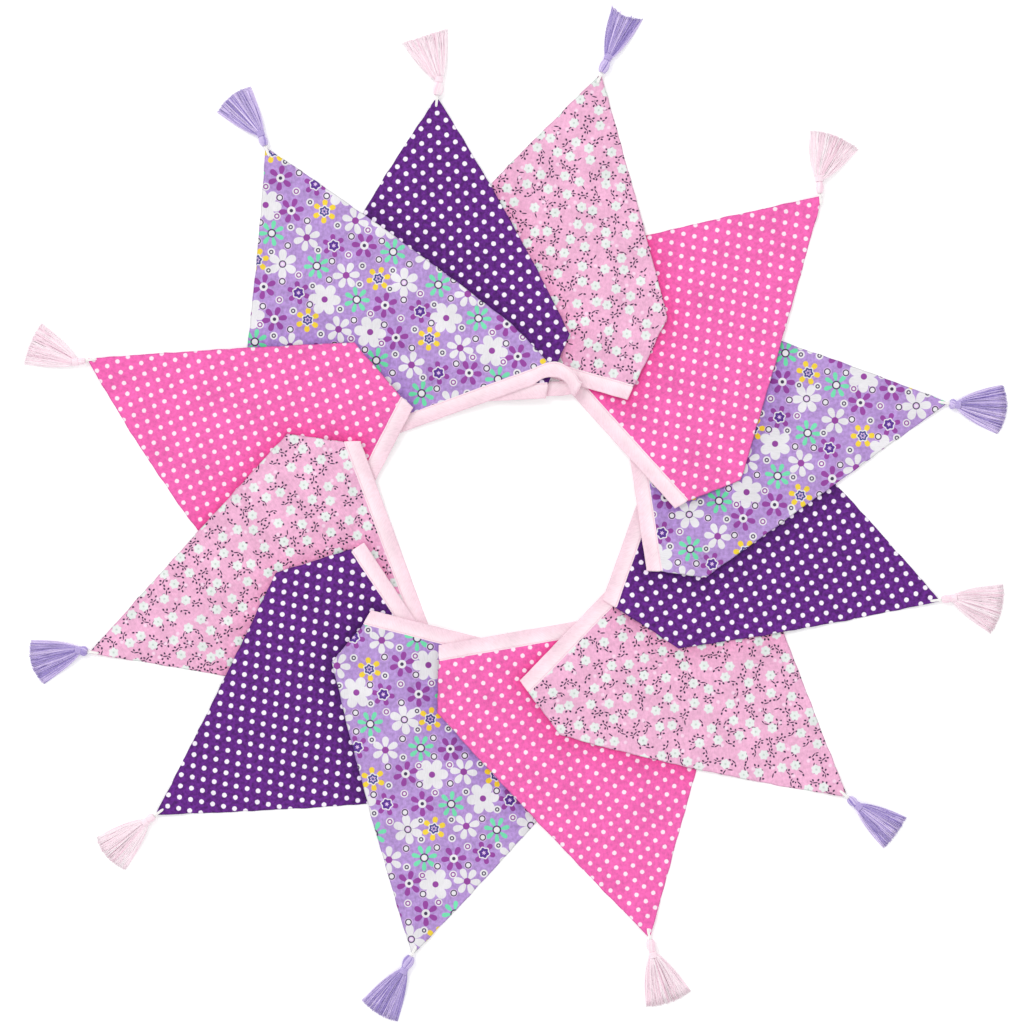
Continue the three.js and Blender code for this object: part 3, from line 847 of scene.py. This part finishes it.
def make_tassel(number, angle, neck_distance, material):
    tassel = tassels[number]
    generator = np.random.default_rng(TASSEL_SEED + number)
    head, around = head_threads(neck_distance, tassel.head)
    wraps = neck_wraps(neck_distance)
    skirt, skirt_tone = skirt_threads(tassel, neck_distance, math.degrees(angle), generator)
    upright = np.array([0, 0, 1.0])
    lengthwise = np.array([1.0, 0, 0])
    parts = [
        tubes(head, around, HEAD_THREAD_RADIUS, HEAD_SIDES),
        tubes(wraps, lengthwise, HEAD_THREAD_RADIUS, HEAD_SIDES, closed=True),
        tubes(skirt, upright, SKIRT_THREAD_RADIUS, SKIRT_SIDES),
    ]
    head_tone = HEAD_TONE + HEAD_TONE_RANGE * generator.random(HEAD_THREADS)
    head_tone = np.repeat(head_tone, len(parts[0][0]) // HEAD_THREADS)
    wrap_tone = np.full(len(parts[1][0]), WRAP_TONE)
    thread_tone = np.repeat(skirt_tone, len(parts[2][0]) // SKIRT_THREADS)
    vertices, faces = gather(parts)
    vertices = to_world(vertices, pennants[number].tip, angle)
    name = f"tassel_threads_{number + 1:02d}"
    piece = make_piece(name, vertices, faces, material)
    add_values(piece, "thread_tone", np.concatenate([head_tone, wrap_tone, thread_tone]))
    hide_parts(f"tassel_{number + 1:02d}")


# Materials

def colour(code, level=1.0):
    """A display colour code as the linear colour of a shader."""
    channels = [int(code[k:k + 2], 16) / 255 for k in (1, 3, 5)]
    linear = [c / 12.92 if c <= 0.04045 else ((c + 0.055) / 1.055) ** 2.4 for c in channels]
    return (*[level * c for c in linear], 1.0)


class Graph:
    """Adds nodes to a material. Inputs may be sockets or plain values."""

    def __init__(self, tree):
        self.tree = tree

    def feed(self, socket, value):
        if isinstance(value, bpy.types.NodeSocket):
            self.tree.links.new(value, socket)
        else:
            socket.default_value = value

    def node(self, kind, inputs=None, **settings):
        node = self.tree.nodes.new(kind)
        for name, value in settings.items():
            setattr(node, name, value)
        for name, value in (inputs or {}).items():
            self.feed(node.inputs[name], value)
        return node

    def math(self, operation, *values):
        inputs = dict(enumerate(values))
        return self.node("ShaderNodeMath", inputs, operation=operation).outputs[0]

    def vector(self, operation, *values):
        inputs = dict(enumerate(values))
        node = self.node("ShaderNodeVectorMath", inputs, operation=operation)
        return node.outputs["Value" if operation == "LENGTH" else "Vector"]

    def scale(self, vector, factor):
        inputs = {0: vector, "Scale": factor}
        return self.node("ShaderNodeVectorMath", inputs, operation="SCALE").outputs["Vector"]

    def separate(self, vector):
        node = self.node("ShaderNodeSeparateXYZ", {"Vector": vector})
        return node.outputs["X"], node.outputs["Y"]

    def paint(self, under, over, mask):
        """One colour over another where the mask is 1."""
        inputs = {0: mask, 6: under, 7: over}
        return self.node("ShaderNodeMix", inputs, data_type="RGBA").outputs[2]

    def below(self, value, limit, softness):
        """1 where a value is under the limit, 0 where it is over, with a soft step between."""
        inputs = {"Value": value, "From Min": limit - softness, "From Max": limit + softness,
                  "To Min": 1.0, "To Max": 0.0}
        return self.node("ShaderNodeMapRange", inputs, interpolation_type="SMOOTHSTEP").outputs[0]

    def attribute(self, name, output="Fac"):
        return self.node("ShaderNodeAttribute", attribute_name=name).outputs[output]

    def rotate(self, vector, angle):
        inputs = {"Vector": vector, "Angle": angle}
        return self.node("ShaderNodeVectorRotate", inputs, rotation_type="Z_AXIS").outputs[0]

    def surface(self, inputs):
        shader = self.node("ShaderNodeBsdfPrincipled", inputs)
        self.node("ShaderNodeOutputMaterial", {"Surface": shader.outputs["BSDF"]})

    def noise(self, place, scale, detail=2.0):
        inputs = {"Vector": place, "Scale": scale, "Detail": detail}
        return self.node("ShaderNodeTexNoise", inputs, noise_dimensions="2D").outputs["Fac"]


PRINT_SOFTNESS = 0.16
DOT_ACROSS = 11.3
DOT_ALONG = 9.9
DOT_RAGGED = 0.5
DOT_RAGGED_SCALE = 0.9


def dots_print(white, radius, softness):
    """White dots in staggered rows."""
    def paint(graph, place, ground):
        distances = []
        for shift in (0, 0.5):
            moved = graph.vector("ADD", place, (shift * DOT_ACROSS, shift * DOT_ALONG, 0))
            high = (DOT_ACROSS / 2, DOT_ALONG / 2, 1)
            low = (-DOT_ACROSS / 2, -DOT_ALONG / 2, -1)
            distances.append(graph.vector("LENGTH", graph.vector("WRAP", moved, high, low)))
        distance = graph.math("MINIMUM", *distances)
        ragged = graph.noise(place, DOT_RAGGED_SCALE)
        uneven = graph.math("MULTIPLY_ADD", ragged, DOT_RAGGED, -DOT_RAGGED / 2)
        distance = graph.math("ADD", distance, uneven)
        return graph.paint(ground, white, graph.below(distance, radius, softness))
    return paint


def petals(graph, radius, angle, count, middle, reach, width, taper):
    """Under 1 inside a ring of equal oval petals that widen outwards by their taper."""
    half_turn = math.pi / count
    swing = graph.math("WRAP", angle, half_turn, -half_turn)
    along = graph.math("MULTIPLY", radius, graph.math("COSINE", swing))
    across = graph.math("MULTIPLY", radius, graph.math("SINE", swing))
    long_part = graph.math("MULTIPLY_ADD", along, 1 / reach, -middle / reach)
    wide_part = graph.math("DIVIDE", across, graph.math("MULTIPLY_ADD", long_part, taper * width, width))
    square = graph.math("MULTIPLY", wide_part, wide_part)
    return graph.math("MULTIPLY_ADD", long_part, long_part, square)


def polar(graph, local, turn):
    x, y = graph.separate(local)
    return graph.vector("LENGTH", local), graph.math("ADD", graph.math("ARCTAN2", y, x), turn)


BLOSSOM_PITCH = 13
BLOSSOM_RADIUS = 3.1
BLOSSOM_LOBES = 6
BLOSSOM_LOBE_DEPTH = 0.34
BLOSSOM_SOFTNESS = 0.45
EYE_RADIUS = 0.65
EYE_SOFTNESS = 0.5
BUD_RADIUS = 1.2
BUD_SOFTNESS = 0.6
BUD_SHIFT = (5, 71, 0)
BUD_SCATTER = 0.9
SCATTER = 0.6
SPRIG_PITCH = 8.7
SPRIG_SHIFT = (37, 11, 0)
STROKE_SOFTNESS = 0.25
STROKE_DROPPED_FROM = 0.7
BLOSSOM_WHITE = colour("#e6ebe9")
BLOSSOM_EYE = colour("#c3cfc8")
SPRIG_GREY = colour("#432f4c")
BUD_PINK = colour("#f6d3e8")
# Strokes of one sprig: middle, slant in degrees, half length and half width
SPRIG_STROKES = (
    (0, 0, 0, 1.7, 0.42),
    (2.6, 1.1, 35, 0.9, 0.62),
    (2.3, -1.6, -50, 0.9, 0.62),
    (0.3, 2.0, 70, 0.85, 0.6),
    (-1.3, -1.8, -115, 0.85, 0.6),
    (-2.9, 0.9, 155, 0.9, 0.62),
    (-2.6, -0.9, 40, 1.1, 0.38),
)


def scattered(graph, place, pitch, randomness):
    """Local coordinates in an uneven scatter of cells, and random values for each cell."""
    scaled = graph.scale(place, 1 / pitch)
    inputs = {"Vector": scaled, "Scale": 1.0, "Randomness": randomness}
    cells = graph.node("ShaderNodeTexVoronoi", inputs, voronoi_dimensions="2D", feature="F1")
    local = graph.scale(graph.vector("SUBTRACT", scaled, cells.outputs["Position"]), pitch)
    random = graph.node("ShaderNodeSeparateColor", {"Color": cells.outputs["Color"]})
    return local, random.outputs


def ditsy_print(graph, place, ground):
    """Small white blossoms among dark leaf sprigs and pale buds."""
    local, random = scattered(graph, graph.vector("ADD", place, SPRIG_SHIFT), SPRIG_PITCH, SCATTER)
    turn = graph.math("MULTIPLY", random["Red"], 2 * math.pi)
    turned = graph.rotate(local, turn)
    strokes = []
    for k, (x, y, slant, half_length, half_width) in enumerate(SPRIG_STROKES):
        moved = graph.vector("SUBTRACT", turned, (x, y, 0))
        lain = graph.rotate(moved, -math.radians(slant))
        inside = graph.vector("LENGTH", graph.vector("DIVIDE", lain, (half_length, half_width, 1)))
        if k > 1:
            dropped = graph.math("GREATER_THAN", random["Green" if k % 2 else "Blue"], STROKE_DROPPED_FROM)
            inside = graph.math("ADD", inside, dropped)
        strokes.append(inside)
    nearest = strokes[0]
    for stroke in strokes[1:]:
        nearest = graph.math("MINIMUM", nearest, stroke)
    shade = graph.paint(ground, SPRIG_GREY, graph.below(nearest, 1.0, STROKE_SOFTNESS))

    bud, _ = scattered(graph, graph.vector("ADD", place, BUD_SHIFT), BLOSSOM_PITCH, BUD_SCATTER)
    in_bud = graph.below(graph.vector("LENGTH", bud), BUD_RADIUS, BUD_SOFTNESS)
    shade = graph.paint(shade, BUD_PINK, in_bud)

    local, random = scattered(graph, place, BLOSSOM_PITCH, SCATTER)
    radius, angle = polar(graph, local, graph.math("MULTIPLY", random["Red"], 2 * math.pi))
    wave = graph.math("COSINE", graph.math("MULTIPLY", angle, BLOSSOM_LOBES))
    lobed = graph.math("MULTIPLY_ADD", wave, -BLOSSOM_LOBE_DEPTH, radius)
    shade = graph.paint(shade, BLOSSOM_WHITE, graph.below(lobed, BLOSSOM_RADIUS, BLOSSOM_SOFTNESS))
    return graph.paint(shade, BLOSSOM_EYE, graph.below(radius, EYE_RADIUS, EYE_SOFTNESS))


FLOWER_PITCH = 20.6
FLOWER_ROW = 18.4
FLOWER_SHIFT = 1.7
PETAL_SOFTNESS = 0.12
GOLDEN_ANGLE = math.radians(137.5)
PETAL_WHITE = colour("#e5e3e7")
PLUM = colour("#96479f")
VIOLET = colour("#5b3590")
NAVY = colour("#4b4a8c")
INK = colour("#4a3d5c")
YELLOW = colour("#efd040")
MINT = colour("#74dcae")
PALE_PLUM = colour("#e3c3ec")
# Petals of each kind of flower, and the rings of its middle from the outside in
FLOWER_COLUMNS = ("shade", "count", "middle", "reach", "width", "taper", "lobes", "rings")
FLOWER_KINDS = {
    "bold": (PETAL_WHITE, 6, 6.0, 4.8, 3.3, 0.2, 0, ((2.1, PLUM),)),
    "ringed": (PETAL_WHITE, 6, 5.7, 4.3, 2.6, 0.3, 0, ((2.5, INK), (1.7, PALE_PLUM), (0.9, PETAL_WHITE))),
    "slim": (PETAL_WHITE, 6, 5.4, 3.7, 2.1, 0.35, 0, ((2.3, PLUM),)),
    "plum": (PLUM, 6, 5.3, 3.2, 1.75, 0.35, 0, ((2.8, PETAL_WHITE), (1.2, INK))),
    "yellow": (YELLOW, 6, 5.5, 2.6, 1.7, 0.35, 0.4,
               ((3.9, PETAL_WHITE), (3.1, NAVY), (1.7, PALE_PLUM), (1.0, NAVY))),
    "mint": (MINT, 7, 5.6, 3.1, 1.4, 0.4, 0, ((2.9, INK), (2.0, PETAL_WHITE))),
    "violet": (PLUM, 6, 5.1, 2.7, 1.6, 0.35, 0.4, ((4.0, PETAL_WHITE), (3.2, VIOLET), (1.0, PALE_PLUM))),
}
FLOWER_ORDER = (
    ("bold", "plum", "yellow", "slim"),
    ("mint", "slim", "violet", "plum"),
    ("yellow", "ringed", "mint", "slim"),
    ("plum", "violet", "bold", "mint"),
)
# Small ringed dots between the flowers, from the outside in
DOT_KINDS = (
    ((2.6, PETAL_WHITE), (1.8, PLUM), (1.0, PETAL_WHITE)),
    ((2.7, PALE_PLUM), (2.3, INK), (1.5, PETAL_WHITE)),
    ((2.6, PETAL_WHITE), (1.5, INK), (0.7, PETAL_WHITE)),
)
# Where dots lie beside each flower, in shares of the pitch and the row. Every third has only one.
DOT_GAPS = ((0.5, 0.34), (0, 0.66))


def floral_print(graph, place, ground):
    """Daisies of several kinds in staggered rows, with small ringed dots between them."""
    repeat = (FLOWER_PITCH * len(FLOWER_ORDER[0]) / 2, FLOWER_ROW * len(FLOWER_ORDER) / 2, 1)
    back = tuple(-length for length in repeat)

    def local_to(x, y):
        moved = graph.vector("SUBTRACT", place, (x, y, 0))
        return graph.vector("WRAP", moved, repeat, back)

    shade = ground
    flowers = []
    for row, kinds in enumerate(FLOWER_ORDER):
        for column, name in enumerate(kinds):
            kind = SimpleNamespace(**dict(zip(FLOWER_COLUMNS, FLOWER_KINDS[name])))
            x = (column + 0.5 * (row % 2)) * FLOWER_PITCH
            flowers.append((kind, x, row * FLOWER_ROW, len(flowers) * GOLDEN_ANGLE))
    for kind, x, y, sway in flowers:
        centre = local_to(x + FLOWER_SHIFT * math.cos(sway), y + FLOWER_SHIFT * math.sin(sway))
        radius, angle = polar(graph, centre, sway)
        inside = petals(graph, radius, angle, kind.count, kind.middle, kind.reach, kind.width, kind.taper)
        shade = graph.paint(shade, kind.shade, graph.below(inside, 1.0, PETAL_SOFTNESS))
        if kind.lobes:
            wave = graph.math("COSINE", graph.math("MULTIPLY", angle, kind.count))
            radius = graph.math("MULTIPLY_ADD", wave, -kind.lobes, radius)
        for ring, ring_shade in kind.rings:
            shade = graph.paint(shade, ring_shade, graph.below(radius, ring, PRINT_SOFTNESS))
    for number, (_, x, y, _) in enumerate(flowers):
        gaps = DOT_GAPS[:1] if number % 3 == 2 else DOT_GAPS
        for gap, (across, along) in enumerate(gaps):
            local = local_to(x + across * FLOWER_PITCH, y + along * FLOWER_ROW)
            distance = graph.vector("LENGTH", local)
            for radius, ring_shade in DOT_KINDS[(number + gap) % len(DOT_KINDS)]:
                shade = graph.paint(shade, ring_shade, graph.below(distance, radius, PRINT_SOFTNESS))
    return shade


TAPE_LIGHT = colour("#fde6ee")
# The darker pink line at the stitches is painted shade in their groove: its colour, half width and fade
TAPE_GROOVE_SHADE = colour("#f3cedc")
TAPE_LIGHT_WIDTH = 5.5
TAPE_LIGHT_FADE = 3.5
TAPE_GROOVE_SHADE_HALF = 0.28
TAPE_GROOVE_SHADE_FADE = 0.2


def tape_bands(graph, place, ground):
    """Plain tape, paler on its cloth side, with a line of painted shade in the groove under its stitches.
    """
    across, _ = graph.separate(place)
    shade = graph.paint(ground, TAPE_LIGHT, graph.below(across, TAPE_LIGHT_WIDTH, TAPE_LIGHT_FADE))
    # Painted shade along the stitch groove
    off_seam = graph.math("ABSOLUTE", graph.math("SUBTRACT", across, STITCH_INSET))
    return graph.paint(shade, TAPE_GROOVE_SHADE, graph.below(off_seam, TAPE_GROOVE_SHADE_HALF, TAPE_GROOVE_SHADE_FADE))


WEAVE_PITCH = 0.42
WEAVE_DEPTH = 0.06
WEAVE_TONE = 0.025
MOTTLE_SCALE = 0.42
SLUB = 0.2
SLUB_SCALE = 1.6
SLUB_STRETCH = 0.12
CLOUDING = 0.25
CLOUD_SCALE = 0.06
# Painted shade in a thin darker line along each rounded edge: how far in it reaches and how softly it
# fades
EDGE_SHADE_WIDTH = 0.7
EDGE_SHADE_FADE = 0.35
CLOTH_ROUGHNESS = 0.85
CLOTH_SHEEN = 0.12
TWIST_SCALE = 900.0
TWIST_TONE = 0.3
TWIST_DEPTH = 0.08
THREAD_ROUGHNESS = 0.55
THREAD_SHEEN = 0.2
BUMP_STRENGTH = 0.5
SPECULAR = 0.15
SHEEN_ROUGHNESS = 0.5


def new_material(name):
    material = bpy.data.materials.new(name)
    material.use_nodes = True
    material.node_tree.nodes.clear()
    return material, Graph(material.node_tree)


def finish_material(graph, base, roughness, height, depth, sheen):
    inputs = {"Strength": BUMP_STRENGTH, "Distance": depth * MM, "Height": height}
    bump = graph.node("ShaderNodeBump", inputs)
    inputs = {"Base Color": base, "Roughness": roughness, "Normal": bump.outputs["Normal"],
              "Specular IOR Level": SPECULAR, "Sheen Weight": sheen, "Sheen Roughness": SHEEN_ROUGHNESS}
    graph.surface(inputs)


def cloth_material(name, ground, mottle, paint, edge_shade=0.22, weave_turn=0.0):
    """Printed cotton: the print, a plain weave and slight unevenness of the dye, with painted shade beside
    the pennant over it and along its edges.
    """
    material, graph = new_material(name)
    place = graph.attribute("cloth_place", "Vector")
    mottled = graph.math("MULTIPLY_ADD", graph.noise(place, MOTTLE_SCALE), mottle, 1 - mottle / 2)
    shade = paint(graph, place, graph.scale(ground[:3], mottled))
    # Painted shade beside the overlying pennant: the colour is mixed towards itself squared, so it darkens
    # and deepens as light bouncing between the layers does
    cover = graph.attribute("cover_shade")
    shade = graph.paint(shade, graph.vector("MULTIPLY", shade, shade), cover)
    grain = graph.rotate(place, weave_turn)
    across, along = graph.separate(grain)
    turn = 2 * math.pi / WEAVE_PITCH
    warp = graph.math("SINE", graph.math("MULTIPLY", across, turn))
    weft = graph.math("SINE", graph.math("MULTIPLY", along, turn))
    weave = graph.math("MULTIPLY", warp, weft)
    stretched = graph.vector("MULTIPLY", grain, (1.0, SLUB_STRETCH, 1.0))
    level = 1 - (SLUB + CLOUDING) / 2
    level = graph.math("MULTIPLY_ADD", graph.noise(stretched, SLUB_SCALE), SLUB, level)
    level = graph.math("MULTIPLY_ADD", graph.noise(place, CLOUD_SCALE), CLOUDING, level)
    level = graph.math("MULTIPLY_ADD", weave, WEAVE_TONE, level)
    # Painted shade along the rounded edges, where the cloth turns down
    inset = graph.attribute("edge_inset")
    rim = graph.below(inset, EDGE_SHADE_WIDTH, EDGE_SHADE_FADE)
    level = graph.math("MULTIPLY_ADD", rim, -edge_shade, level)
    base = graph.scale(shade, level)
    finish_material(graph, base, CLOTH_ROUGHNESS, weave, WEAVE_DEPTH, CLOTH_SHEEN)
    return material


def thread_material(name, dark, light):
    """Lustrous thread, each strand a little lighter or darker than the next."""
    material, graph = new_material(name)
    tone = graph.attribute("thread_tone")
    place = graph.node("ShaderNodeTexCoord").outputs["Object"]
    inputs = {"Vector": place, "Scale": TWIST_SCALE, "Detail": 1.0}
    twist = graph.node("ShaderNodeTexNoise", inputs).outputs["Fac"]
    mixed = graph.math("MULTIPLY_ADD", twist, TWIST_TONE, graph.math("ADD", tone, -TWIST_TONE / 2))
    shade = graph.paint(dark, light, mixed)
    finish_material(graph, shade, THREAD_ROUGHNESS, twist, TWIST_DEPTH, THREAD_SHEEN)
    return material


# Each cloth's ground colour, how mottled it is, and what is printed on it
CLOTHS = {
    "purple_dots": (colour("#612581"), 1.5, dots_print(colour("#f6eefa"), 1.58, 0.22)),
    "pink_ditsy": (colour("#ecb1d1"), 0.4, ditsy_print),
    "hot_pink_dots": (colour("#f167b3"), 0.5, dots_print(colour("#fae6f2"), 1.45, 0.34)),
    "lilac_floral": (colour("#b392d0"), 0.7, floral_print),
}
cloth_materials = {name: cloth_material(name, *cloth) for name, cloth in CLOTHS.items()}
tape_material = cloth_material("tape_pink", colour("#f8d8e4"), 0.15, tape_bands, 0.05, math.pi / 4)
thread_materials = {
    "tassel_pink": thread_material("tassel_pink", colour("#f9d6e5"), colour("#fff8fb")),
    "tassel_lilac": thread_material("tassel_lilac", colour("#7d67bb"), colour("#efdfff")),
    "thread_white": thread_material("thread_white", colour("#efecea"), colour("#fbfaf8")),
    "stitch_pink": thread_material("stitch_pink", colour("#f4d0df"), colour("#fbe3ec")),
}


# The bunting

cloths = [make_cloth(number, cloth_materials[pennant.print]) for number, pennant in enumerate(pennants)]
tape, tape_length, shown_stretches = make_tape(tape_material)
stitches = make_stitches(shown_stretches, thread_materials["stitch_pink"])

for number, (pennant, tassel) in enumerate(zip(pennants, tassels)):
    to_neck = np.array([tassel.neck_x, tassel.neck_y]) - pennant.tip
    angle = math.atan2(to_neck[1], to_neck[0])
    make_loop(number, angle, thread_materials["thread_white"])
    make_tassel(number, angle, float(np.linalg.norm(to_neck)), thread_materials[tassel.thread])


# Floor, light and camera

FLOOR_HALF = 6000.0
FLOOR_SHADE = (0.95, 0.95, 0.95, 1)
# The floor glows a little, painted light that lifts the soft shadows on it
FLOOR_GLOW = 0.14
VIEW_CENTRE = (-2.31, 2.0)
VIEW_WIDTH = 686.08
CAMERA_HEIGHT = 2500

# Soft light, in metres and watts
WORLD_STRENGTH = 0.94
SOFTBOX_SIZE = 2.6
SOFTBOX_POWER = 105
SOFTBOX_PLACE = (-3.0, 3.4, 4.7)


def make_floor():
    half = FLOOR_HALF
    corners = [(-half, -half, 0), (half, -half, 0), (half, half, 0), (-half, half, 0)]
    mesh = bpy.data.meshes.new("floor")
    mesh.from_pydata((np.array(corners) * MM).tolist(), [], [(0, 1, 2, 3)])
    material, graph = new_material("floor_white")
    # Its faint glow is painted light that lifts the soft shadows on the floor
    inputs = {"Base Color": FLOOR_SHADE, "Roughness": 0.9, "Specular IOR Level": 0.0,
              "Emission Color": (1, 1, 1, 1), "Emission Strength": FLOOR_GLOW}
    graph.surface(inputs)
    mesh.materials.append(material)
    add_object("floor", mesh)


def make_light():
    world = bpy.data.worlds.new("studio")
    world.use_nodes = True
    background = world.node_tree.nodes["Background"]
    background.inputs["Color"].default_value = (1, 1, 1, 1)
    background.inputs["Strength"].default_value = WORLD_STRENGTH
    bpy.context.scene.world = world
    light = bpy.data.lights.new("softbox", "AREA")
    light.shape = "DISK"
    light.size = SOFTBOX_SIZE
    light.energy = SOFTBOX_POWER
    softbox = add_object("softbox", light)
    softbox.location = SOFTBOX_PLACE
    softbox.rotation_mode = "QUATERNION"
    softbox.rotation_quaternion = (-softbox.location).to_track_quat("-Z", "Y")


def make_camera():
    lens = bpy.data.cameras.new("camera")
    lens.lens = lens.sensor_width * CAMERA_HEIGHT / VIEW_WIDTH
    lens.clip_end = 100
    camera = add_object("camera", lens)
    camera.location = (VIEW_CENTRE[0] * MM, VIEW_CENTRE[1] * MM, CAMERA_HEIGHT * MM)
    bpy.context.scene.camera = camera


make_floor()
make_light()
make_camera()
bpy.context.scene.view_settings.view_transform = "Standard"

bpy.context.view_layer.update()
